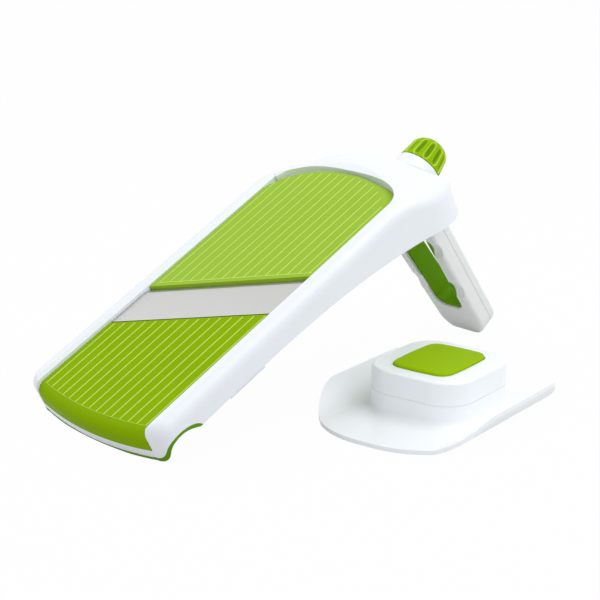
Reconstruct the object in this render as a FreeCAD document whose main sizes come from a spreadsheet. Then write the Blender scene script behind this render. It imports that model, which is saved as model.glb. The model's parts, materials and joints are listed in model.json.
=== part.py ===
import FreeCAD, Part
import os
import re
from math import cos, pi, radians, sin
import Sketcher
from FreeCAD import Placement, Rotation, Vector

# Mandoline slicer standing on its folding leg, with its hand guard beside it.
# The row frame starts at the front foot on the table: +Y towards the raised end, +X to the right, +Z up.
# Pieces on the slicer are drawn in the deck frame: x across, u along the deck, v along the deck's normal.

doc = FreeCAD.newDocument("mandoline_slicer")
sizes = doc.addObject("Spreadsheet::Sheet", "Sizes")

# Driving dimensions in millimetres and degrees
driving = {
    # stance of the deck
    "deck_tilt": 27.2,
    "deck_rise": 24.9,
    "deck_set": 6.9,
    # main frame
    "body_half": 62.5,
    "body_front": -13.2,
    "body_rear": 260.0,
    "front_bow": 5.3,
    "rear_bow": 3.0,
    "front_corner": 11.0,
    "rear_corner": 43.4,
    "wall": 2.6,
    "rail_top": 4.0,
    "shoulder": 7.5,
    "hood_start": 190.0,
    "crown_place": 212.0,
    "crown_rise": 0.5,
    "brow_place": 240.0,
    "brow_drop": 6.0,
    "hood_drop": 29.5,
    "roof_fall": 15.0,
    "fall_place": 236.0,
    "rail_bevel": 2.0,
    "end_bevel": 12.0,
    "skirt_front": 14.0,
    "skirt_middle": 13.5,
    "skirt_bend": 16.7,
    "skirt_hood": 28.5,
    "skirt_rear": 42.5,
    "notch_front": -12.0,
    "notch_back": 14.0,
    "notch_depth": 4.5,
    "nose_depth": 19.5,
    "strip_thick": 1.9,
    "guide_wall": 2.2,
    "guide_depth": 11.0,
    "ledge_width": 7.0,
    "ledge_thick": 2.4,
    # plates and blade
    "plate_half": 51.0,
    "plate_fit": 0.35,
    "plate_thick": 4.0,
    "landing_front": -13.6,
    "lip_depth": 12.4,
    "lip_round": 7.0,
    "lip_thick": 3.4,
    "landing_back": 71.0,
    "slant": 23.5,
    "blade_gap": 0.8,
    "blade_thick": 1.2,
    "blade_band": 33.6,
    "cut_gap": 0.7,
    "bevel_width": 4.0,
    "edge_thick": 0.24,
    "runway_end": 217.0,
    "runway_round": 27.0,
    "runway_power": 2.7,
    "crest_inset": 1.4,
    "crest_round": 38.0,
    "crest_power": 2.2,
    "runway_thick": 3.4,
    "runway_lift": 1.2,
    "runway_flange": 8.0,
    "flange_thick": 2.0,
    "opening_gap": 1.4,
    # cross brace under the landing plate
    "brace_front": 40.0,
    "brace_length": 28.0,
    "brace_thick": 4.0,
    "brace_wall": 2.2,
    "brace_drop": 13.0,
    "brace_fit": 0.3,
    "brace_edge": 0.5,
    "post_half": 6.0,
    # thickness adjuster
    "knob_place": 270.0,
    "knob_drop": 31.5,
    "spindle_tilt": 14.0,
    "spindle_radius": 4.0,
    "spindle_reach": 64.0,
    "spindle_run": 0.05,
    "knob_radius": 14.6,
    "knob_height": 20.5,
    "knob_taper": 1.6,
    "knob_brow": 11.5,
    "knob_gap": 0.5,
    "knob_grip": 13.0,
    "flute_count": 12,
    "flute_radius": 2.2,
    "flute_bite": 1.2,
    "flute_low": 5.0,
    "flute_high": 11.5,
    "boss_radius": 14.6,
    "boss_flare": 1.8,
    "bush_radius": 7.0,
    "bush_length": 12.5,
    "collar_radius": 6.2,
    "collar_thick": 3.0,
    "nut_place": 36.0,
    "nut_travel": 19.0,
    "nut_half": 6.5,
    "nut_length": 12.0,
    "tongue_reach": 2.4,
    "tongue_length": 16.0,
    "tongue_height": 4.0,
    "slide_fit": 0.3,
    "bracket_half": 11.0,
    "cheek_thick": 3.4,
    "bracket_front": 186.0,
    "bracket_length": 27.0,
    "bracket_thick": 3.0,
    # folding leg
    "hinge_place": 242.7,
    "hinge_drop": 21.2,
    "leg_lean": 38.1,
    "leg_half_top": 25.4,
    "leg_half_foot": 18.4,
    "leg_length": 145.8,
    "leg_thick": 17.2,
    "leg_seam": 1.6,
    "leg_foot_round": 15.5,
    "leg_edge": 3.0,
    "leg_screw_upper": 37.0,
    "leg_screw_lower": 104.0,
    "leg_screw_length": 10.3,
    "arm_width": 7.9,
    "liner_thick": 2.4,
    "liner_start": 21.2,
    "loop_depth": 115.8,
    "scallop_radius": 14.0,
    "scallop_depth": 2.2,
    "scallop_upper": 54.3,
    "scallop_lower": 95.2,
    "pin_radius": 3.0,
    "pin_run": 0.05,
    "lug_gap": 0.5,
    "lug_inner": 3.0,
    "lug_outer": 4.0,
    "lug_reach": 8.5,
    # hand guard
    "guard_x": 94.0,
    "guard_y": 181.9,
    "guard_turn": 10.5,
    "flange_half": 55.5,
    "flange_flat": 38.0,
    "flange_front": 78.0,
    "flange_rear": 47.0,
    "flange_rise": 14.0,
    "flange_sheet": 2.5,
    "flange_corner_front": 50.0,
    "flange_corner_rear": 8.0,
    "block_half_x": 33.0,
    "block_half_y": 35.2,
    "block_corner": 18.8,
    "block_seam": 15.0,
    "block_top": 29.5,
    "block_wall": 2.4,
    "lid_edge": 1.8,
    "cap_half_x": 19.0,
    "cap_half_y": 24.2,
    "cap_corner": 8.0,
    "cap_bulge": 1.2,
    "cap_proud": 1.8,
    "cap_edge": 1.4,
    "cap_fit": 0.4,
    "cap_lip": 2.0,
    "cap_lip_low": 24.6,
    "stem_radius": 5.0,
    "bridge_low": 8.5,
    "bridge_thick": 2.0,
    "bridge_half": 9.0,
    "guard_post_x": 23.9,
    "guard_post_y": 26.1,
    "guard_post_radius": 4.2,
    "guard_round": 4.0,
    "prong_plate_half_x": 17.0,
    "prong_plate_half_y": 19.5,
    "prong_plate_low": 5.0,
    "prong_plate_thick": 2.5,
    "prong_radius": 0.9,
    "prong_tip": 0.8,
    "prong_pitch": 9.0,
    "spring_radius": 7.4,
    "spring_wire": 0.7,
    "spring_turns": 5,
    # fasteners
    "screw_radius": 1.5,
    "head_radius": 2.8,
    "head_height": 1.6,
    "plate_bite": 2.8,
    "runway_bite": 2.0,
    "blade_cover": 0.5,
    # joint lines between shells
    "seam_gap": 0.6,
    "seam_depth": 0.4,
}
for row, (alias, number) in enumerate(driving.items(), start=1):
    sizes.set(f"A{row}", alias)
    sizes.set(f"B{row}", str(number))
    sizes.setAlias(f"B{row}", alias)
doc.recompute()

pieces = []
far = 400.0


def size(alias):
    return float(sizes.get(alias))


def cells(text):
    def reference(word):
        return "Sizes." + word.group() if word.group() in driving else word.group()
    return re.sub(r"[a-z][a-z_]*", reference, text)


def bind(item, **paths):
    for path, text in paths.items():
        item.setExpression(path.replace("__", "."), cells(text))
    return item


def finish(item, label):
    item.Label = label
    pieces.append(item)
    return item


def solid_piece(name, shape):
    item = doc.addObject("Part::Feature", name)
    item.Shape = shape
    return item


# Seat a piece that is drawn about a point of the deck, turned about X from the deck's own slope
def on_deck(item, x="0", u="0", v="0", turn="0"):
    item.Placement = Placement(Vector(), Rotation(Vector(1, 0, 0), 10))
    bind(item, Placement__Base__x=x,
         Placement__Base__y=f"deck_set + ({u}) * cos(deck_tilt) - ({v}) * sin(deck_tilt)",
         Placement__Base__z=f"deck_rise + ({u}) * sin(deck_tilt) + ({v}) * cos(deck_tilt)",
         Placement__Rotation__Angle=f"deck_tilt + {turn}")
    return item


def on_spindle(item, along="0"):
    return on_deck(item, u=f"knob_place + ({along}) * cos(spindle_tilt)",
                   v=f"-knob_drop + ({along}) * sin(spindle_tilt)", turn="spindle_tilt - 90")


def on_hinge(item):
    return on_deck(item, u="hinge_place", v="-hinge_drop", turn="leg_lean - deck_tilt")


def on_guard(item):
    item.Placement = Placement(Vector(), Rotation(Vector(0, 0, 1), 10))
    return bind(item, Placement__Base__x="guard_x", Placement__Base__y="guard_y",
                Placement__Rotation__Angle="guard_turn")


def primitive(kind, name, **paths):
    return bind(doc.addObject("Part::" + kind, name), **paths)


def fuse(name, *items):
    joined = doc.addObject("Part::MultiFuse", name)
    joined.Shapes = list(items)
    return joined


def cut(name, base, tool):
    result = doc.addObject("Part::Cut", name)
    result.Base = base
    result.Tool = tool
    result.Refine = False
    return result


def group(name, items):
    bundle = doc.addObject("Part::Compound", name)
    bundle.Links = items
    return bundle


# A group of alike screws and the same shapes as a cutting tool; each points along its own +Z from its head
def screws(name, places, shank, turn=None):
    made = []
    for number, (x, y, z) in enumerate(places):
        head = primitive("Cylinder", f"{name}_head_{number}", Radius="head_radius", Height="head_height",
                         Placement__Base__z="-head_height")
        body = primitive("Cylinder", f"{name}_shank_{number}", Radius="screw_radius", Height=shank)
        screw = fuse(f"{name}_screw_{number}", head, body)
        screw.Placement = Placement(Vector(), turn or Rotation())
        made.append(bind(screw, Placement__Base__x=x, Placement__Base__y=y, Placement__Base__z=z))
    return group(name, made), group(name + "_holes", made)


# A body padded from a closed outline of corners on one of its own origin planes
def padded(name, corners, thickness):
    body = doc.addObject("PartDesign::Body", name)
    plane = next(o for o in body.Origin.OriginFeatures if o.Role == "XY_Plane")
    sketch = body.newObject("Sketcher::SketchObject", name + "_outline")
    sketch.AttachmentSupport = [(plane, "")]
    sketch.MapMode = "FlatFace"
    flat = [Vector(rough(x), rough(y), 0) for x, y in corners]
    for number, start in enumerate(flat):
        sketch.addGeometry(Part.LineSegment(start, flat[(number + 1) % len(flat)]))
    for number in range(len(flat)):
        sketch.addConstraint(Sketcher.Constraint("Coincident", number, 2, (number + 1) % len(flat), 1))
    for number, (x, y) in enumerate(corners):
        for kind, text, value in (("DistanceX", x, flat[number].x), ("DistanceY", y, flat[number].y)):
            index = sketch.addConstraint(Sketcher.Constraint(kind, -1, 1, number, 1, value))
            sketch.setExpression(f"Constraints[{index}]", cells(text))
    pad = body.newObject("PartDesign::Pad", name + "_pad")
    pad.Profile = sketch
    bind(pad, Length=thickness)
    return body


# The number that a sheet expression gives, for a sketch's first drawing
def rough(text):
    probe = doc.addObject("App::FeaturePython", "probe")
    probe.addProperty("App::PropertyFloat", "reading")
    probe.setExpression("reading", cells(text))
    doc.recompute()
    reading = probe.reading
    doc.removeObject(probe.Name)
    return reading


def line(*points):
    return Part.makePolygon([Vector(*p) for p in points]).Edges


def arc(start, middle, end):
    return [Part.Arc(Vector(*start), Vector(*middle), Vector(*end)).toShape()]


def curve(points, first=None, last=None):
    made = Part.BSplineCurve()
    ends = {}
    if first:
        ends["InitialTangent"] = Vector(*first)
    if last:
        ends["FinalTangent"] = Vector(*last)
    made.interpolate(Points=[Vector(*p) for p in points], **ends)
    return [made.toShape()]


def face(edges):
    return Part.Face(Part.Wire(Part.__sortEdges__(edges)))


def across(edges, half):
    sheet = face(edges)
    sheet.translate(Vector(-half, 0, 0))
    return sheet.extrude(Vector(2 * half, 0, 0))


def rising(edges, low, high):
    sheet = face(edges)
    sheet.translate(Vector(0, 0, low))
    return sheet.extrude(Vector(0, 0, high - low))


def block(x, u, v):
    return Part.makeBox(x[1] - x[0], u[1] - u[0], v[1] - v[0], Vector(x[0], u[0], v[0]))


def both_sides(shape):
    return shape.fuse(shape.mirror(Vector(), Vector(1, 0, 0)))


# Rounded rectangle with straight sides, centred, as edges
def rounded(half_x, half_y, corner):
    inner_x, inner_y = half_x - corner, half_y - corner
    slope = corner * cos(pi / 4)
    edges = []
    for way_x, way_y in ((1, 1), (-1, 1), (-1, -1), (1, -1)):
        edges += arc((way_x * half_x, way_y * inner_y, 0),
                     (way_x * (inner_x + slope), way_y * (inner_y + slope), 0),
                     (way_x * inner_x, way_y * half_y, 0))
    edges += line((half_x, -inner_y, 0), (half_x, inner_y, 0))
    edges += line((-half_x, -inner_y, 0), (-half_x, inner_y, 0))
    edges += line((-inner_x, half_y, 0), (inner_x, half_y, 0))
    edges += line((-inner_x, -half_y, 0), (inner_x, -half_y, 0))
    return edges


# Plan of the body, drawn in from its outer face by an inset
def body_plan(inset):
    half = size("body_half") - inset
    front = size("body_front") + inset
    rear = size("body_rear") - inset
    near = size("front_corner") - inset
    back = size("rear_corner") - inset
    turn = 1 - cos(pi / 4)
    edges = arc((-half + near, front, 0), (0, front - size("front_bow"), 0), (half - near, front, 0))
    edges += arc((-half + back, rear, 0), (0, rear + size("rear_bow"), 0), (half - back, rear, 0))
    for way in (-1, 1):
        edges += line((way * half, front + near, 0), (way * half, rear - back, 0))
        edges += arc((way * half, front + near, 0), (way * (half - near * turn), front + near * turn, 0),
                     (way * (half - near), front, 0))
        edges += arc((way * half, rear - back, 0), (way * (half - back * turn), rear - back * turn, 0),
                     (way * (half - back), rear, 0))
    return edges


# Rows of the roof in side view: flat rails, a low crown and the hood's fall to the rear
def roof_rows(inset):
    top, drop = size("rail_top") - inset, size("hood_drop")
    start, rear = size("hood_start"), size("body_rear")
    hood = curve([(0, start, top), (0, size("crown_place"), top + size("crown_rise")),
                  (0, size("brow_place"), top - size("brow_drop")), (0, rear, top - drop),
                  (0, rear + size("rear_corner") / 3, top - 2 * drop)], first=(0, 1, 0))[0]
    flat_rows, hood_rows = 10, 9
    step = (start + far / 4) / flat_rows
    rows = [(number * step - far / 4, top) for number in range(flat_rows)]
    return rows + [(place.y, place.z) for place in hood.discretize(Number=hood_rows)]


# Roof as one sheet, flat over the rails and falling to both sides over the hood
def roof_sheet(inset):
    half, start = size("body_half"), size("hood_start")
    columns = 9
    reach = half + size("wall")
    grid = []
    for u, v in roof_rows(inset):
        share = min(max((u - start) / (size("fall_place") - start), 0), 1)
        fall = size("roof_fall") * share ** 2 * (3 - 2 * share)
        places = [reach * (2 * number / (columns - 1) - 1) for number in range(columns)]
        grid.append([Vector(x, u, v - fall * (x / half) ** 2) for x in places])
    sheet = Part.BSplineSurface()
    sheet.interpolate(grid)
    return sheet.toShape()


# Shares of the notch's length and height along its arch
arch_shares = ((0.1, 0.24), (0.17, 0.61), (0.28, 0.89), (0.46, 1.0), (0.71, 0.92), (0.88, 0.72))


# Lower edge of the body at the front, grown outwards by a band: the nose, then the arch over a bowl's rim
def bottom_line(grow):
    front, back = size("notch_front") - grow, size("notch_back") + grow
    nose = -size("nose_depth") + grow
    low = -size("skirt_front")
    rise = low + size("notch_depth") + grow - nose
    arch = [(0, front, nose)]
    for along, share in arch_shares:
        arch.append((0, front + along * (back - front), nose + share * rise))
    arch.append((0, back, low))
    return line((0, -far / 4, nose), arch[0]) + curve(arch), (0, -far / 4, nose), arch[-1]


def bottom_edges(grow):
    nose, nose_start, last = bottom_line(grow)
    rear = size("body_rear")
    brow, start = size("brow_place"), size("hood_start")
    middle = (size("landing_back") + size("notch_back")) / 2 + size("notch_back")
    skirt = [last, (0, middle, -size("skirt_middle")),
             (0, (start + middle) / 2 + size("notch_back"), -size("skirt_bend")),
             (0, (start + brow) / 2 - size("notch_back") / 2, -size("skirt_hood")),
             (0, rear, -size("skirt_rear")),
             (0, rear + size("rear_corner") / 2, -size("skirt_rear") - size("front_bow"))]
    return nose + curve(skirt), nose_start, skirt[-1]


def shell_form(inset, below):
    roof = roof_sheet(inset)
    form = rising(body_plan(inset), -far, far).common(roof.extrude(Vector(0, 0, -far)))
    if below:
        lower, front, rear = below
        above = lower + line(front, (0, front[1], far), (0, rear[1], far), rear)
        form = form.common(across(above, far / 2))
    walls = Part.Shell([e.extrude(Vector(0, 0, 2 * far)) for e in body_plan(inset)])
    walls.translate(Vector(0, 0, -far))
    near = 1e-4
    chain = []
    for edge in form.Edges:
        middle = Part.Vertex(edge.valueAt((edge.FirstParameter + edge.LastParameter) / 2))
        if middle.distToShape(roof)[0] < near and middle.distToShape(walls)[0] < near:
            chain.append(edge)
    return form.makeFillet(size("shoulder") - inset, chain)


# Outline of the plates' bay up to its rounded end, as edges from the front
def bay(half, end, ahead, height=0, rule="runway"):
    start = size("runway_end") - size(rule + "_round")
    steps = 16
    power = 2 / size(rule + "_power")
    ring = []
    for step in range(steps + 1):
        turn = pi * step / steps
        x = half * abs(cos(turn)) ** power
        u = start + (end - start) * sin(turn) ** power if 0 < step < steps else start
        ring.append((x if step <= steps / 2 else -x, u, height))
    edges = curve(ring, first=(0, 1, 0), last=(0, -1, 0))
    edges += line(ring[0], (half, ahead, height), (-half, ahead, height), ring[-1])
    return edges


# Solid between two bay outlines at two heights
def bay_loft(lower, upper):
    wires = [Part.Wire(Part.__sortEdges__(edges)) for edges in (lower, upper)]
    return Part.makeLoft(wires, True, True)


# Slanted edge across the deck: u at the middle, as a half plane of the deck beyond or before it
def slanted(middle, beyond, half, low, high):
    rise = half * sin(radians(size("slant"))) / cos(radians(size("slant")))
    reach = far if beyond else -far
    return rising(line((-half, middle - rise, 0), (half, middle + rise, 0), (half, middle + reach, 0),
                       (-half, middle + reach, 0), (-half, middle - rise, 0)), low, high)


def along_spindle(shape):
    shape = shape.copy()
    shape.Placement = Placement(Vector(0, size("knob_place"), -size("knob_drop")),
                                Rotation(Vector(1, 0, 0), size("spindle_tilt") - 90))
    return shape


def hinge_rod(radius, half):
    return Part.makeCylinder(radius, 2 * half, Vector(-half, size("hinge_place"), -size("hinge_drop")),
                             Vector(1, 0, 0))


plate_half = size("plate_half")
bay_half = plate_half + size("plate_fit")
edge_middle = size("landing_back")
runway_edge = edge_middle + size("blade_band")
arm_taper = (size("leg_half_top") - size("leg_half_foot")) / size("leg_length")
lug_clear = size("lug_gap") + 2 * size("lug_reach") * arm_taper
lug_inside = size("leg_half_top") - size("arm_width") - lug_clear
lug_outside = size("leg_half_top") + lug_clear

# Places of the screws that hold the fixed pieces, and their holes
side_place = "(plate_half + plate_fit - ledge_width / 2)"
ledge_low = "-plate_thick - ledge_thick"
landing_places = [(way + side_place, place, ledge_low)
                  for way in ("-", "") for place in ("post_half", "5 * post_half")]
landing_screws, landing_holes = screws("landing_plate_screws", landing_places, "ledge_thick + plate_bite")
blade_mid = "landing_back + (blade_band - cut_gap) / 2"
blade_places = [(way + side_place, f"{blade_mid} + {way or '+'}{side_place} * tan(slant)", ledge_low)
                for way in ("-", "")]
blade_screws, blade_holes = screws("blade_screws", blade_places, "ledge_thick + plate_thick - blade_cover")
post_place = "(body_half - wall - brace_fit - brace_edge - head_radius)"
brace_places = [(way + post_place, "brace_front + brace_length / 2", "-brace_drop - brace_wall")
                for way in ("-", "")]
brace_screws, brace_holes = screws("brace_screws", brace_places, "brace_wall + 2 * brace_thick")
runway_low = "runway_lift - runway_thick"
bracket_places = [(f"{way}bracket_half / 2", f"bracket_front + {place}", f"{runway_low} - bracket_thick")
                  for way in ("-", "") for place in ("post_half", "3 * post_half")]
bracket_screws, bracket_holes = screws("bracket_screws", bracket_places, "bracket_thick + runway_bite")


# Main frame: hollow body with rails, hood, boss, hinge lugs, posts and ledges
def frame_shape():
    outer = shell_form(0, bottom_edges(size("strip_thick")))
    shell = outer.cut(shell_form(size("wall"), None))
    guide = block((bay_half, bay_half + size("guide_wall")), (size("body_front"), size("hood_start")),
                  (-size("guide_depth"), far))
    lug_low = -size("hinge_drop") - size("lug_reach")
    lug_span = (size("hinge_place") - size("lug_reach"), size("hinge_place") + size("lug_reach"))
    inner_lug = block((lug_inside - size("lug_inner"), lug_inside), lug_span, (lug_low, far))
    outer_lug = block((lug_outside, lug_outside + size("lug_outer")), lug_span, (lug_low, far))
    brace_middle = size("brace_front") + size("brace_length") / 2
    post = block((bay_half + size("guide_wall") / 2, size("body_half") - size("wall") / 2),
                 (brace_middle - size("post_half"), brace_middle + size("post_half")),
                 (-size("brace_drop"), far))
    end = size("runway_end") + size("opening_gap")
    rim = rising(bay(bay_half + size("guide_wall"), end + size("guide_wall"), size("hood_start")),
                 -size("plate_thick"), far)
    inside = shell_form(size("wall") / 2, bottom_edges(size("strip_thick")))
    inner = both_sides(guide.fuse([inner_lug, outer_lug, post])).fuse(rim).common(inside)
    ledge_bottom = -size("plate_thick") - size("ledge_thick")
    ledge_sides = (bay_half - size("ledge_width"), bay_half + size("guide_wall"))
    ledge_span = (size("body_front") + 2 * size("lip_thick"), far)
    ledges = both_sides(block(ledge_sides, ledge_span, (ledge_bottom, -size("plate_thick"))))
    pads = both_sides(block(ledge_sides, ledge_span, (ledge_bottom, -size("blade_thick"))))
    ledges = ledges.cut(slanted(edge_middle, True, far, -far, far))
    pads = pads.cut(slanted(edge_middle, False, far, -far, far))
    pads = pads.cut(slanted(runway_edge - size("cut_gap"), True, far, -far, far))
    body = shell.fuse([inner, ledges, pads])
    boss = Part.makeCone(size("boss_radius") + size("boss_flare"), size("boss_radius"), size("bush_length"),
                         Vector(0, 0, -size("bush_length")))
    body = body.fuse(along_spindle(boss))
    opening = rising(bay(bay_half, end, -far / 4), -size("plate_thick"), far)
    mouth = block((-bay_half, bay_half), (-far / 4, size("body_front") + size("wall")),
                  (-size("lip_depth"), far))
    bore = Part.makeCylinder(size("bush_radius"), far, Vector(0, 0, -far / 2))
    bevel = size("rail_bevel")
    funnel = bay_loft(bay(bay_half, end, -far / 4, size("rail_top") - bevel),
                      bay(bay_half + 2 * bevel, end + size("end_bevel"), -far / 4, size("rail_top") + bevel))
    body = body.cut([opening.cut(pads), mouth, along_spindle(bore)]).cut(funnel)
    rod = hinge_rod(size("pin_radius"), lug_outside + size("lug_outer"))
    return body.cut(rod)


frame_form = cut("frame_form", solid_piece("frame_shell", frame_shape()), landing_holes)
frame_form = cut("frame_form_drilled", frame_form, blade_holes)
finish(on_deck(cut("main_frame", frame_form, brace_holes)), "main_frame")


# Foot strip under the front wall and round the notches, cut level with the table
def strip_shape():
    band = rising(body_plan(0), -far, far).cut(rising(body_plan(size("wall")), -far, far))
    lower, lower_start, lower_end = bottom_line(0)
    upper, upper_start, upper_end = bottom_line(size("strip_thick"))
    section = across(lower + upper + line(lower_start, upper_start) + line(lower_end, upper_end), far / 2)
    table = Part.makeBox(far, 2 * far, far, Vector(-far / 2, -far, -far))
    table.rotate(Vector(), Vector(1, 0, 0), -size("deck_tilt"))
    table.translate(Vector(0, -size("deck_rise") * sin(radians(size("deck_tilt"))),
                           -size("deck_rise") * cos(radians(size("deck_tilt")))))
    return band.common(section).cut(table)


finish(on_deck(solid_piece("foot_strip", strip_shape())), "foot_strip")


# Landing plate with its rolled front lip
def landing_shape():
    front = size("landing_front")
    edges = arc((-plate_half, front, 0), (0, front - size("front_bow"), 0), (plate_half, front, 0))
    edges += line((plate_half, front, 0), (plate_half, far, 0),
                  (-plate_half, far, 0), (-plate_half, front, 0))
    solid = rising(edges, -size("lip_depth"), 0)
    lip = [e for e in solid.Edges if e.BoundBox.ZMin > -1e-6 and e.BoundBox.YMax < front + 1e-6]
    solid = solid.makeFillet(size("lip_round"), lip)
    hollow = rising(edges, -2 * size("lip_depth"), -size("plate_thick"))
    hollow.translate(Vector(0, size("lip_thick"), 0))
    return solid.cut(hollow).cut(slanted(edge_middle - size("blade_gap"), True, far, -far, far))


landing_form = solid_piece("landing_form", landing_shape())
finish(on_deck(cut("landing_plate", landing_form, landing_holes)), "landing_plate")
finish(on_deck(landing_screws), "landing_plate_screws")

# Blade: a slanted steel strip with a ground cutting edge, padded up from its underside
blade_near = "landing_back"
blade_far = "landing_back + blade_band - cut_gap"
blade_blank = padded("blade_blank", [
    ("-plate_half", f"{blade_near} - plate_half * tan(slant)"),
    ("plate_half", f"{blade_near} + plate_half * tan(slant)"),
    ("plate_half", f"{blade_far} + plate_half * tan(slant)"),
    ("-plate_half", f"{blade_far} - plate_half * tan(slant)")], "blade_thick")
bind(blade_blank, Placement__Base__z="-blade_thick")


# Wedge that grinds the blade's upper edge to a bevel
def grind_shape():
    width, thick = size("bevel_width"), size("blade_thick")
    edge = size("edge_thick") - thick
    wedge = across(line((0, -width, 0), (0, 0, edge), (0, width, edge), (0, width, thick),
                        (0, -width, thick), (0, -width, 0)), far / 2)
    wedge.rotate(Vector(), Vector(0, 0, 1), size("slant"))
    wedge.translate(Vector(0, runway_edge - size("cut_gap"), 0))
    return wedge


ground_blade = cut("ground_blade", blade_blank, solid_piece("grind", grind_shape()))
finish(on_deck(cut("blade", ground_blade, blade_holes)), "blade")
finish(on_deck(blade_screws), "blade_screws")

# Cross brace under the landing plate, a shallow channel between the skirts
brace_half = "(body_half - wall - brace_fit)"
brace_blank = padded("brace_blank", [
    (f"-{brace_half}", "brace_front"), (brace_half, "brace_front"),
    (brace_half, "brace_front + brace_length"), (f"-{brace_half}", "brace_front + brace_length")],
    "brace_thick")
bind(brace_blank, Placement__Base__z="-brace_drop - brace_thick")
brace_channel = primitive("Box", "brace_channel", Length=f"2 * {brace_half} - 2 * brace_wall",
                          Width="brace_length - 2 * brace_wall", Height="brace_thick - brace_wall",
                          Placement__Base__x=f"brace_wall - {brace_half}",
                          Placement__Base__y="brace_front + brace_wall",
                          Placement__Base__z="-brace_drop - brace_thick")
brace_form = cut("brace_form", brace_blank, brace_channel)
finish(on_deck(cut("under_brace", brace_form, brace_holes)), "under_brace")
finish(on_deck(brace_screws), "brace_screws")


# Runway plate: plate beyond the blade, sloped down round its end, with side flanges between the rails
def runway_shape():
    low, high = size("runway_lift") - size("runway_thick"), size("runway_lift")
    end = size("runway_end")
    crest = bay(plate_half, end - size("crest_inset"), 0, high, "crest")
    solid = bay_loft(bay(plate_half, end, 0, low), crest)
    flange = both_sides(block((plate_half - size("flange_thick"), plate_half),
                              (0, end - size("runway_round")), (low - size("runway_flange"), low)))
    return solid.fuse(flange).removeSplitter().common(slanted(runway_edge, True, far, -far, far))


runway_form = solid_piece("runway_form", runway_shape())
finish(on_deck(cut("runway_plate", runway_form, bracket_holes)), "runway_plate")


# Place of the lift nut on the spindle while the runway is up
def nut_centre():
    tilt = radians(size("spindle_tilt"))
    along = size("nut_place")
    return size("knob_place") - along * cos(tilt), -size("knob_drop") - along * sin(tilt)


# Lift bracket: a plate under the runway with two cheeks whose slots follow the nut's tongues
def bracket_shape():
    u, v = nut_centre()
    top = size("runway_lift") - size("runway_thick")
    plate_low = top - size("bracket_thick")
    front = size("bracket_front")
    inner = size("nut_half") + size("slide_fit")
    outer = inner + size("cheek_thick")
    back = front + size("bracket_length")
    plate = block((-size("bracket_half"), size("bracket_half")), (front, back), (plate_low, top))
    run = size("nut_travel") * cos(radians(size("spindle_tilt")))
    reach = size("tongue_length") / 2 + size("slide_fit")
    ahead, behind = u - run - reach, u + reach
    tall = size("tongue_height") / 2 + size("slide_fit")
    web = size("cheek_thick")
    cheek = across(line((0, front + 4 * web, top), (0, back, top), (0, behind + web, v + tall + 2 * web),
                        (0, behind + web, v - tall - web), (0, ahead - web, v - tall - web),
                        (0, ahead - web, v + tall + 2 * web), (0, front + 4 * web, top - 3 * web),
                        (0, front + 4 * web, top)), outer)
    cheek = cheek.cut(block((-inner, inner), (0, far), (-far, far)))
    slot = block((-far, far), (ahead, behind), (v - tall, v + tall))
    return plate.fuse(cheek).cut(slot).removeSplitter()


bracket_form = solid_piece("bracket_form", bracket_shape())
finish(on_deck(cut("lift_bracket", bracket_form, bracket_holes)), "lift_bracket")
finish(on_deck(bracket_screws), "bracket_screws")


# Lift nut on the spindle, with tongues parallel to the deck
def nut_shape():
    u, v = nut_centre()
    half, length = size("nut_half"), size("nut_length")
    core = Part.makeBox(2 * half, 2 * half, length, Vector(-half, -half, -length / 2 - size("nut_place")))
    reach = half + size("tongue_reach")
    along, tall = size("tongue_length") / 2, size("tongue_height") / 2
    tongue = block((-reach, reach), (u - along, u + along), (v - tall, v + tall))
    bore = Part.makeCylinder(size("spindle_radius") + size("spindle_run"), far, Vector(0, 0, -far / 2))
    return along_spindle(core).fuse(tongue).cut(along_spindle(bore)).removeSplitter()


finish(on_deck(solid_piece("lift_nut", nut_shape())), "lift_nut")

# Spindle, its bush in the hood's boss and the collar that keeps it there
spindle = primitive("Cylinder", "spindle", Radius="spindle_radius", Height="spindle_reach + knob_grip")
finish(on_spindle(spindle, "-spindle_reach"), "spindle")
bush = cut("spindle_bush", primitive("Cylinder", "bush_round", Radius="bush_radius", Height="bush_length"),
           primitive("Cylinder", "bush_bore", Radius="spindle_radius + spindle_run", Height="bush_length"))
finish(on_spindle(bush, "-bush_length"), "spindle_bush")
collar = cut("spindle_collar",
             primitive("Cylinder", "collar_round", Radius="collar_radius", Height="collar_thick"),
             primitive("Cylinder", "collar_bore", Radius="spindle_radius", Height="collar_thick"))
finish(on_spindle(collar, "-bush_length - knob_gap - collar_thick"), "spindle_collar")


# Knob: a tapered dome with oval flutes round its flank
def knob_shape():
    radius, height, low = size("knob_radius"), size("knob_height"), size("knob_gap")
    slim, brow = radius - size("knob_taper"), size("knob_brow")
    slope = cos(pi / 4)
    edges = line((0, 0, low), (radius, 0, low), (slim, 0, brow))
    edges += curve([(slim, 0, brow), (slope * slim, 0, brow + slope * (height - brow)), (0, 0, height)],
                   first=(slim - radius, 0, brow - low), last=(-1, 0, 0))
    edges += line((0, 0, height), (0, 0, low))
    solid = face(edges).revolve(Vector(), Vector(0, 0, 1), 360)
    flute = size("flute_radius")
    start, end = size("flute_low"), size("flute_high")
    lean = size("knob_taper") / (brow - low)
    groove = Part.makeCylinder(flute, end - start, Vector(0, 0, start))
    groove = groove.fuse([Part.makeSphere(flute, Vector(0, 0, place)) for place in (start, end)])
    groove.rotate(Vector(0, 0, low), Vector(0, 1, 0), -lean * 180 / pi)
    groove.translate(Vector(radius + flute - size("flute_bite"), 0, 0))
    count = int(size("flute_count"))
    grooves = []
    for number in range(count):
        turned = groove.copy()
        turned.rotate(Vector(), Vector(0, 0, 1), 360 * (number + 0.5) / count)
        grooves.append(turned)
    socket = Part.makeCylinder(size("spindle_radius"), size("knob_grip"))
    return solid.cut(grooves + [socket])


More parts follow.
